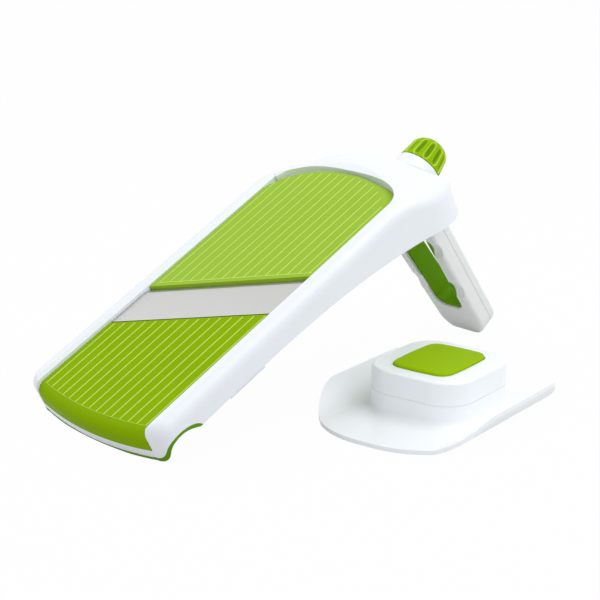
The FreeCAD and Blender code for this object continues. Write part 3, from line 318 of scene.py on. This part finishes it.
# ribs along the deck from a bowed or slanted start to a slanted or rounded end, with a low border
def ribTree(numbers):
    tree, given = startTree("deckRibs", numbers)
    first = addNode(tree, "ShaderNodeCombineXYZ", None, [given["First"]])
    step = addNode(tree, "ShaderNodeCombineXYZ", None, [given["Pitch"]])
    row = addNode(tree, "GeometryNodeMeshLine", {"mode": "OFFSET"}, Count=given["Count"],
                  Start_Location=first, Offset=step)
    place = addNode(tree, "GeometryNodeInputPosition")
    x = addNode(tree, "ShaderNodeSeparateXYZ", None, [place]).outputs["X"]
    square = addNode(tree, "ShaderNodeMath", {"operation": "MULTIPLY"}, [x, x])
    bowed = addNode(tree, "ShaderNodeMath", {"operation": "MULTIPLY_ADD"},
                    [square, given["Start Bow"], given["Start Middle"]])
    start = addNode(tree, "ShaderNodeMath", {"operation": "MULTIPLY_ADD"},
                    [x, given["Start Slope"], bowed])
    share = addNode(tree, "ShaderNodeMath", {"operation": "DIVIDE"}, [x, given["Half"]])
    size = addNode(tree, "ShaderNodeMath", {"operation": "ABSOLUTE"}, [share])
    raised = addNode(tree, "ShaderNodeMath", {"operation": "POWER"}, [size, given["Power"]])
    rest = addNode(tree, "ShaderNodeMath", {"operation": "SUBTRACT", "use_clamp": True}, [1.0, raised])
    root = addNode(tree, "ShaderNodeMath", {"operation": "DIVIDE"}, [1.0, given["Power"]])
    oval = addNode(tree, "ShaderNodeMath", {"operation": "POWER"}, [rest, root])
    straight = addNode(tree, "ShaderNodeMath", {"operation": "MULTIPLY_ADD"},
                       [x, given["End Slope"], given["End Middle"]])
    end = addNode(tree, "ShaderNodeMath", {"operation": "MULTIPLY_ADD"},
                  [oval, given["End Round"], straight])
    length = addNode(tree, "ShaderNodeMath", {"operation": "SUBTRACT"}, [end, start])
    shift = addNode(tree, "ShaderNodeCombineXYZ", None, Y=start)
    feet = addNode(tree, "GeometryNodeSetPosition", None, Geometry=row, Offset=shift)
    stroke = addNode(tree, "GeometryNodeCurvePrimitiveLine", {"End": (0, 1, 0)})
    stretch = addNode(tree, "ShaderNodeCombineXYZ", {"X": 1.0, "Z": 1.0}, Y=length)
    strokes = addNode(tree, "GeometryNodeInstanceOnPoints", None, Points=feet, Instance=stroke,
                      Scale=stretch)
    lines = addNode(tree, "GeometryNodeRealizeInstances", None, [strokes])
    lines = addNode(tree, "GeometryNodeResampleCurve", {"mode": "LENGTH"}, Curve=lines,
                    Length=given["Nose"])
    lines = addNode(tree, "GeometryNodeSetCurveNormal", {"mode": "Z_UP"}, [lines])
    along = addNode(tree, "GeometryNodeSplineParameter").outputs["Length"]
    whole = addNode(tree, "GeometryNodeSplineLength").outputs["Length"]
    left = addNode(tree, "ShaderNodeMath", {"operation": "SUBTRACT"}, [whole, along])
    nearest = addNode(tree, "ShaderNodeMath", {"operation": "MINIMUM"}, [along, left])
    taper = addNode(tree, "ShaderNodeMapRange", {"From Min": 0.0, "To Max": 1.0}, Value=nearest,
                    From_Max=given["Nose"], To_Min=given["Nose Share"])
    ring = addNode(tree, "GeometryNodeCurvePrimitiveCircle", {"Radius": 1.0}, Resolution=given["Sides"])
    section = addNode(tree, "ShaderNodeCombineXYZ", {"Z": 1.0}, X=given["Half Width"], Y=given["Rise"])
    profile = addNode(tree, "GeometryNodeTransform", None, Geometry=ring, Scale=section)
    ribs = addNode(tree, "GeometryNodeCurveToMesh", {"Fill Caps": True}, Curve=lines,
                   Profile_Curve=profile, Scale=taper)
    edgeFrom = addNode(tree, "ShaderNodeCombineXYZ", None, [given["Border From"]])
    edgeStep = addNode(tree, "ShaderNodeCombineXYZ", None, [given["Border Step"]])
    edge = addNode(tree, "GeometryNodeMeshLine", {"mode": "OFFSET"}, Count=given["Border Marks"],
                   Start_Location=edgeFrom, Offset=edgeStep)
    edge = addNode(tree, "GeometryNodeSetPosition", None, Geometry=edge, Offset=shift)
    edge = addNode(tree, "GeometryNodeMeshToCurve", None, [edge])
    edge = addNode(tree, "GeometryNodeSetCurveNormal", {"mode": "Z_UP"}, [edge])
    broad = addNode(tree, "ShaderNodeCombineXYZ", {"Z": 1.0}, X=given["Border Half"], Y=given["Rise"])
    edgeProfile = addNode(tree, "GeometryNodeTransform", None, Geometry=ring, Scale=broad)
    border = addNode(tree, "GeometryNodeCurveToMesh", {"Fill Caps": True}, Curve=edge,
                     Profile_Curve=edgeProfile)
    lift = addNode(tree, "ShaderNodeCombineXYZ", None, Z=given["Level"])
    ribs = addNode(tree, "GeometryNodeTransform", None, Geometry=ribs, Translation=lift)
    border = addNode(tree, "GeometryNodeTransform", None, Geometry=border, Translation=lift)
    endTree(tree, given, ribs, border)
    return tree


plateHalf = reach("landing_plate", across)[1]
landingTop = reach("landing_plate", deckUp)[1]
runwayTop = reach("runway_plate", deckUp)[1]
landingFront = reach("landing_plate", deckAlong)[0]
landingBow = reach("landing_plate", deckAlong, plateHalf)[0] - landingFront
landingEdge = [reach("landing_plate", deckAlong, way * plateHalf)[1] for way in (-1, 1)]
runwayEdge = [reach("runway_plate", deckAlong, way * plateHalf)[0] for way in (-1, 1)]
slope = (landingEdge[1] - landingEdge[0]) / (2 * plateHalf)
runwayEnd = reach("runway_plate", deckAlong)[1]

borderHalfSpan = plateHalf - ribLook["sideMargin"] * mm
ribNumbers = {
    "Count": ribLook["count"], "Pitch": ribLook["pitch"] * mm,
    "First": -(ribLook["count"] - 1) / 2 * ribLook["pitch"] * mm,
    "Half": plateHalf, "Half Width": ribLook["halfWidth"] * mm, "Rise": ribLook["rise"] * mm,
    "Nose": ribLook["nose"] * mm, "Nose Share": ribLook["noseShare"], "Sides": ribLook["sides"],
    "Power": ribLook["endPower"], "Border Half": ribLook["borderHalf"] * mm,
    "Border Marks": ribLook["borderMarks"], "Border From": -borderHalfSpan,
    "Border Step": 2 * borderHalfSpan / (ribLook["borderMarks"] - 1),
    "Level": 0.0, "Start Middle": 0.0, "Start Slope": 0.0, "Start Bow": 0.0,
    "End Middle": 0.0, "End Slope": 0.0, "End Round": 0.0,
}
ribs = ribTree(ribNumbers)
landingNumbers = dict(ribNumbers, **{
    "Level": landingTop, "Border Half": ribLook["lipBorder"] * mm,
    "Start Middle": landingFront + ribLook["lipRoll"] * mm, "Start Bow": landingBow / plateHalf ** 2,
    "End Middle": sum(landingEdge) / 2 - ribLook["bladeMargin"] * mm, "End Slope": slope})
bakePiece("landingRibs", ribs, landingNumbers, crestHighlightAbs, fromDeck, "frame")
runwayNumbers = dict(ribNumbers, **{
    "Level": runwayTop, "Start Middle": sum(runwayEdge) / 2 + ribLook["runwayMargin"] * mm,
    "Start Slope": slope, "End Middle": runwayEnd - ribLook["endRound"] * mm,
    "End Round": (ribLook["endRound"] - ribLook["endMargin"]) * mm})
bakePiece("runwayRibs", ribs, runwayNumbers, crestHighlightAbs, fromDeck, "runway")
print("ribs made")


# slim and fluteDepth in millimetres, heights as shares of the knob's own; the grid runs from -0.5 to 0.5
# up the knob, with the bottom face up to baseEnd and the flank up to flankEnd
knobLook = {"browShare": 0.54, "slim": 1.8, "domePower": 1.0, "flutes": 12, "fluteShare": 0.34,
            "fluteDepth": 2.0, "fluteMiddle": 0.43, "fluteHalf": 0.4, "acrossPower": 2.0, "upPower": 4.0,
            "dentPower": 0.75, "around": 241, "tall": 81, "baseEnd": -0.42, "flankEnd": 0.15}


# knob: a tapered dome with oval flutes dented into its flank, from a grid wrapped round the spindle
def knobTree(numbers):
    tree, given = startTree("flutedKnob", numbers)
    grid = addNode(tree, "GeometryNodeMeshGrid", {"Size X": 1.0, "Size Y": 1.0},
                   Vertices_X=given["Around"], Vertices_Y=given["Tall"])
    place = addNode(tree, "GeometryNodeInputPosition")
    spot = addNode(tree, "ShaderNodeSeparateXYZ", None, [place])
    angle = addNode(tree, "ShaderNodeMath", {"operation": "MULTIPLY"}, [spot.outputs["X"], 2 * math.pi])
    up = spot.outputs["Y"]
    base = addNode(tree, "ShaderNodeMapRange", {"From Min": -0.5}, [up], From_Max=given["Base End"])
    flank = addNode(tree, "ShaderNodeMapRange", None, [up, given["Base End"], given["Flank End"]])
    dome = addNode(tree, "ShaderNodeMapRange", {"From Max": 0.5, "To Max": math.pi / 2},
                   [up, given["Flank End"]])
    side = addNode(tree, "ShaderNodeMapRange", None, [flank], To_Min=given["Radius"],
                   To_Max=given["Brow Radius"])
    level = addNode(tree, "ShaderNodeMapRange", None, [flank], To_Min=given["Low"], To_Max=given["Brow"])
    narrow = addNode(tree, "ShaderNodeMath", {"operation": "COSINE"}, [dome])
    narrow = addNode(tree, "ShaderNodeMath", {"operation": "MAXIMUM"}, [narrow, 0.0])
    narrow = addNode(tree, "ShaderNodeMath", {"operation": "POWER"}, [narrow, given["Dome Power"]])
    rise = addNode(tree, "ShaderNodeMath", {"operation": "SINE"}, [dome])
    rise = addNode(tree, "ShaderNodeMath", {"operation": "POWER"}, [rise, given["Dome Power"]])
    top = addNode(tree, "ShaderNodeMath", {"operation": "MULTIPLY_ADD"}, [rise, given["Dome Rise"], level])
    wide = addNode(tree, "ShaderNodeMath", {"operation": "MULTIPLY"}, [side, narrow])
    wide = addNode(tree, "ShaderNodeMath", {"operation": "MULTIPLY"}, [wide, base])
    turns = addNode(tree, "ShaderNodeMath", {"operation": "MULTIPLY"}, [spot.outputs["X"], given["Flutes"]])
    part = addNode(tree, "ShaderNodeMath", {"operation": "FRACT"}, [turns])
    off = addNode(tree, "ShaderNodeMath", {"operation": "SUBTRACT"}, [part, 0.5])
    off = addNode(tree, "ShaderNodeMath", {"operation": "DIVIDE"}, [off, given["Flute Share"]])
    off = addNode(tree, "ShaderNodeMath", {"operation": "POWER"}, [off, given["Across Power"]])
    high = addNode(tree, "ShaderNodeMath", {"operation": "SUBTRACT"}, [top, given["Flute Middle"]])
    high = addNode(tree, "ShaderNodeMath", {"operation": "DIVIDE"}, [high, given["Flute Half"]])
    high = addNode(tree, "ShaderNodeMath", {"operation": "POWER"}, [high, given["Up Power"]])
    both = addNode(tree, "ShaderNodeMath", {"operation": "ADD"}, [off, high])
    dent = addNode(tree, "ShaderNodeMath", {"operation": "SUBTRACT", "use_clamp": True}, [1.0, both])
    dent = addNode(tree, "ShaderNodeMath", {"operation": "POWER"}, [dent, given["Dent Power"]])
    marked = addNode(tree, "GeometryNodeStoreNamedAttribute",
                     {"data_type": "FLOAT", "domain": "POINT", "Name": "fluteMark"},
                     Geometry=grid, Value=dent)
    dent = addNode(tree, "ShaderNodeMath", {"operation": "MULTIPLY"}, [dent, given["Flute Depth"]])
    wide = addNode(tree, "ShaderNodeMath", {"operation": "SUBTRACT"}, [wide, dent])
    wide = addNode(tree, "ShaderNodeMath", {"operation": "MAXIMUM"}, [wide, 0.0])
    sine = addNode(tree, "ShaderNodeMath", {"operation": "SINE"}, [angle])
    cosine = addNode(tree, "ShaderNodeMath", {"operation": "COSINE"}, [angle])
    x = addNode(tree, "ShaderNodeMath", {"operation": "MULTIPLY"}, [wide, cosine])
    y = addNode(tree, "ShaderNodeMath", {"operation": "MULTIPLY"}, [wide, sine])
    wrapped = addNode(tree, "ShaderNodeCombineXYZ", None, [x, y, top])
    shaped = addNode(tree, "GeometryNodeSetPosition", None, Geometry=marked, Position=wrapped)
    closed = addNode(tree, "GeometryNodeMergeByDistance", {"Distance": weld}, Geometry=shaped)
    endTree(tree, given, closed)
    return tree


knobLow, knobTop = [mark - spindleRoot.dot(spindleOut) for mark in reach("knob", spindleOut)]
knobRadius = reach("knob", across)[1]
knobTall = knobTop - knobLow
knobBrow = knobLow + knobLook["browShare"] * knobTall
knobNumbers = {
    "Around": knobLook["around"], "Tall": knobLook["tall"],
    "Base End": knobLook["baseEnd"], "Flank End": knobLook["flankEnd"],
    "Radius": knobRadius, "Brow Radius": knobRadius - knobLook["slim"] * mm,
    "Low": knobLow, "Brow": knobBrow,
    "Dome Rise": knobTop - knobBrow, "Dome Power": knobLook["domePower"], "Flutes": knobLook["flutes"],
    "Flute Share": knobLook["fluteShare"], "Flute Depth": knobLook["fluteDepth"] * mm,
    "Flute Middle": knobLow + knobLook["fluteMiddle"] * knobTall,
    "Flute Half": knobLook["fluteHalf"] * knobTall, "Across Power": knobLook["acrossPower"],
    "Up Power": knobLook["upPower"], "Dent Power": knobLook["dentPower"],
}
spindleTurn = Matrix((across, spindleOut.cross(across), spindleOut)).transposed().to_4x4()
fromSpindle = Matrix.Translation(spindleRoot) @ spindleTurn
knobCap = bakePiece("flutedKnob", knobTree(knobNumbers), knobNumbers, knobAbs, fromSpindle,
                    "knob")
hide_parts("knob")
print("knob made")


# sizes in millimetres, the leg's lean in degrees
screwLook = {"headRadius": 2.8, "headHeight": 1.6, "brim": 0.6, "shankRadius": 1.5, "cross": 1.5,
             "slot": 0.35, "depth": 0.45, "headSides": 40, "shankSides": 24, "legLean": 38.1}


# pan-head screws with a cross recess, one on every mark, their heads' tops at the marks
def screwTree(numbers):
    tree, given = startTree("crossScrews", numbers)
    wide, tall, brim = given["Head Radius"], given["Head Height"], given["Brim"]
    low = addNode(tree, "ShaderNodeMath", {"operation": "SUBTRACT"}, [tall, brim])
    slim = addNode(tree, "ShaderNodeMath", {"operation": "SUBTRACT"}, [wide, brim])
    stem = addNode(tree, "ShaderNodeMath", {"operation": "SUBTRACT"}, [given["Length"], tall])
    drum = addNode(tree, "GeometryNodeMeshCylinder", None, Vertices=given["Head Sides"], Radius=wide,
                   Depth=low)
    crown = addNode(tree, "GeometryNodeMeshCone", None, Vertices=given["Head Sides"], Radius_Top=slim,
                    Radius_Bottom=wide, Depth=brim)
    shank = addNode(tree, "GeometryNodeMeshCylinder", None, Vertices=given["Shank Sides"],
                    Radius=given["Shank Radius"], Depth=stem)
    drumDrop = addNode(tree, "ShaderNodeMath", {"operation": "MULTIPLY"}, [low, -0.5])
    drumDrop = addNode(tree, "ShaderNodeMath", {"operation": "SUBTRACT"}, [drumDrop, brim])
    stemDrop = addNode(tree, "ShaderNodeMath", {"operation": "MULTIPLY"}, [stem, -0.5])
    stemDrop = addNode(tree, "ShaderNodeMath", {"operation": "SUBTRACT"}, [stemDrop, tall])
    crownDrop = addNode(tree, "ShaderNodeMath", {"operation": "MULTIPLY"}, [brim, -1.0])
    placed = []
    for shape, down in ((drum, drumDrop), (crown, crownDrop), (shank, stemDrop)):
        shift = addNode(tree, "ShaderNodeCombineXYZ", None, Z=down)
        placed.append(addNode(tree, "GeometryNodeTransform", None, Geometry=shape, Translation=shift))
    cross = []
    for long, short in (("X", "Y"), ("Y", "X")):
        arm = addNode(tree, "ShaderNodeCombineXYZ", None, **{long: given["Cross"], short: given["Slot"],
                                                             "Z": given["Depth"]})
        arm = addNode(tree, "ShaderNodeVectorMath", {"operation": "SCALE", "Scale": 2.0}, [arm])
        cross.append(addNode(tree, "GeometryNodeMeshCube", None, Size=arm))
    head = addNode(tree, "GeometryNodeMeshBoolean", {"operation": "DIFFERENCE"}, [placed[1]])
    for arm in cross:
        tree.links.new(arm.outputs[0], head.inputs[1])
    screw = addNode(tree, "GeometryNodeJoinGeometry")
    for part in (placed[0], head, placed[2]):
        tree.links.new(part.outputs[0], screw.inputs[0])
    spread = addNode(tree, "GeometryNodeInstanceOnPoints", None, Points=given["Geometry"], Instance=screw)
    endTree(tree, given, spread)
    return tree


screwNumbers = {"Head Radius": screwLook["headRadius"] * mm, "Head Height": screwLook["headHeight"] * mm,
                "Brim": screwLook["brim"] * mm, "Shank Radius": screwLook["shankRadius"] * mm,
                "Cross": screwLook["cross"] * mm, "Slot": screwLook["slot"] * mm,
                "Depth": screwLook["depth"] * mm, "Length": 0.0,
                "Head Sides": screwLook["headSides"], "Shank Sides": screwLook["shankSides"]}
screwForm = screwTree(screwNumbers)
lean = math.radians(screwLook["legLean"])
legRear = Vector((0, math.cos(lean), math.sin(lean)))
# each set's piece, and the way its heads face
screwSets = {
    "landing_plate_screws": ("landingPlateScrews", -deckUp), "blade_screws": ("bladeScrews", -deckUp),
    "brace_screws": ("braceScrews", -deckUp), "bracket_screws": ("bracketScrews", -deckUp),
    "leg_screws": ("legScrews", legRear), "guard_lid_screws": ("guardLidScrews", Vector((0, 0, -1))),
}
for node, (name, way) in screwSets.items():
    fromHead = Matrix((across, way.cross(across), way)).transposed().to_4x4()
    tops, length = solidTops(node, fromHead)
    piece = bakePiece(name, screwForm, dict(screwNumbers, Length=length), zincSteel, fromHead,
                      bodyOf[node], tops)
    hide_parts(node)
print("screws made")


# the wire's radius in millimetres, and how many marks a turn and the wire's outline have
springLook = {"turns": 5.0, "wire": 0.7, "turnMarks": 36, "wireSides": 16}


# return spring wound as a helix at one height; the real one shortens as the press cap goes down
def springTree(numbers):
    tree, given = startTree("returnSpring", numbers)
    helix = addNode(tree, "GeometryNodeCurveSpiral", None, Resolution=given["Turn Marks"],
                    Rotations=given["Turns"], Start_Radius=given["Coil"], End_Radius=given["Coil"],
                    Height=given["Height"])
    ring = addNode(tree, "GeometryNodeCurvePrimitiveCircle", None, Resolution=given["Wire Sides"],
                   Radius=given["Wire"])
    wire = addNode(tree, "GeometryNodeCurveToMesh", {"Fill Caps": True}, Curve=helix, Profile_Curve=ring)
    endTree(tree, given, wire)
    return tree


springSide, springAlong, springUp = [reach("press_spring", axis) for axis in Matrix.Identity(3)]
springTall = springUp[1] - springUp[0]
springWire = springLook["wire"] * mm
springFoot = Vector((sum(springSide) / 2, sum(springAlong) / 2, springUp[0]))
springNumbers = {"Turns": springLook["turns"], "Wire": springWire,
                 "Coil": (springSide[1] - springSide[0]) / 2 - springWire,
                 "Height": springTall - 2 * springWire,
                 "Turn Marks": springLook["turnMarks"], "Wire Sides": springLook["wireSides"]}
onSpring = Matrix.Translation(springFoot + Vector((0, 0, springWire)))
spring = bakePiece("returnSpring", springTree(springNumbers), springNumbers, zincSteel, onSpring,
                   "guard")
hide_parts("press_spring")
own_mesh(spring)
print("spring made")


# rebate of the landing plate that closes the slot in front of the blade, dark with painted slot shade;
# low and high are millimetres below the plate's top
rebateLook = {"length": 3.0, "low": 4.0, "high": 3.0, "bite": 0.5}
rebateMarks = []
for level in ("low", "high"):
    for x, edge in zip((-plateHalf, plateHalf), landingEdge):
        for y in (edge - rebateLook["bite"] * mm, edge + rebateLook["length"] * mm):
            rebateMarks.append(fromDeck @ Vector((x, y, landingTop - rebateLook[level] * mm)))
rebateMesh = bpy.data.meshes.new("landingRebate")
rebateSides = [(0, 1, 3, 2), (4, 6, 7, 5), (0, 4, 5, 1), (2, 3, 7, 6), (0, 2, 6, 4), (1, 5, 7, 3)]
rebateMesh.from_pydata(rebateMarks, [], rebateSides)
rebateMesh.materials.append(slotShadeAbs)
rebate = bpy.data.objects.new("landingRebate", rebateMesh)
scene.collection.objects.link(rebate)
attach(rebate, "frame")
print("rebate made")


# camera at the photo's angle
shot = {"azimuth": 48.23, "elevation": 16.63, "distance": 0.95942, "target": (0, 0.1269, 0.05),
        "lens": 94.99, "sensor": 36, "shiftX": 0.0610, "shiftY": 0.0185}
cameraData = bpy.data.cameras.new("photoCamera")
cameraData.lens = shot["lens"]
cameraData.sensor_width = shot["sensor"]
cameraData.shift_x = shot["shiftX"]
cameraData.shift_y = shot["shiftY"]
camera = bpy.data.objects.new("photoCamera", cameraData)
turn, lift = math.radians(shot["azimuth"]), math.radians(shot["elevation"])
sight = Vector((math.sin(turn) * math.cos(lift), -math.cos(turn) * math.cos(lift), math.sin(lift)))
camera.location = Vector(shot["target"]) + shot["distance"] * sight
camera.rotation_euler = sight.to_track_quat("Z", "Y").to_euler()
scene.collection.objects.link(camera)
scene.camera = camera


# one for rays from the camera, a mirror or a clear piece, so that these see plain white
def seenStraight(tree):
    rays = addNode(tree, "ShaderNodeLightPath").outputs
    seen = addNode(tree, "ShaderNodeMath", {"operation": "MAXIMUM"},
                   [rays["Is Camera Ray"], rays["Is Glossy Ray"]])
    return addNode(tree, "ShaderNodeMath", {"operation": "MAXIMUM"}, [seen, rays["Is Transmission Ray"]])


# pale floor that the camera sees as nearly white, with the shadow kept
floorLook = {"half": 3.0, "colour": "#D6D6D6", "rough": 0.9, "plain": 0.975}
floorMesh = bpy.data.meshes.new("floor")
half = floorLook["half"]
floorCorners = [(-half, -half, 0), (half, -half, 0), (half, half, 0), (-half, half, 0)]
floorMesh.from_pydata(floorCorners, [], [(0, 1, 2, 3)])
floor = bpy.data.objects.new("floor", floorMesh)
scene.collection.objects.link(floor)
floorPaint, tree, shader, _ = startMaterial("mattFloorPaint", Roughness=floorLook["rough"],
                                            Base_Color=fromHex(floorLook["colour"]))
glow = addNode(tree, "ShaderNodeEmission", {"Color": (1, 1, 1, 1), "Strength": 1.0})
share = addNode(tree, "ShaderNodeMath", {"operation": "MULTIPLY"}, [seenStraight(tree), floorLook["plain"]])
blended = addNode(tree, "ShaderNodeMixShader", None, [share, shader, glow])
tree.links.new(blended.outputs[0], tree.nodes["Material Output"].inputs["Surface"])
floorMesh.materials.append(floorPaint)

# studio light: even sky, a large soft key from above on the right and a weak fill from the left
sky = {"light": "#EFF3F8", "strength": 0.84}
world = bpy.data.worlds.new("studio")
world.use_nodes = True
scene.world = world
tree = world.node_tree
backdrop = tree.nodes["Background"]
backdrop.inputs["Color"].default_value = (1, 1, 1, 1)
backdrop.inputs["Strength"].default_value = 1.0
ambient = addNode(tree, "ShaderNodeBackground",
                  {"Color": fromHex(sky["light"]), "Strength": sky["strength"]})
mixed = addNode(tree, "ShaderNodeMixShader", None, [seenStraight(tree), ambient, backdrop])
tree.links.new(mixed.outputs[0], tree.nodes["World Output"].inputs["Surface"])

lamps = {
    "key": {"place": (0.58, 0.42, 1.0), "aim": (0.06, 0.2, 0.05), "size": 1.0, "power": 5.2},
    "fill": {"place": (-0.8, -0.35, 0.95), "aim": (0.05, 0.12, 0.03), "size": 1.0, "power": 2.8},
}
for name, lamp in lamps.items():
    light = bpy.data.lights.new(name, "AREA")
    light.size = lamp["size"]
    light.energy = lamp["power"]
    source = bpy.data.objects.new(name, light)
    source.location = lamp["place"]
    back = Vector(lamp["place"]) - Vector(lamp["aim"])
    source.rotation_euler = back.to_track_quat("Z", "Y").to_euler()
    scene.collection.objects.link(source)
print("camera, floor and light set")

scene.view_settings.view_transform = "Standard"
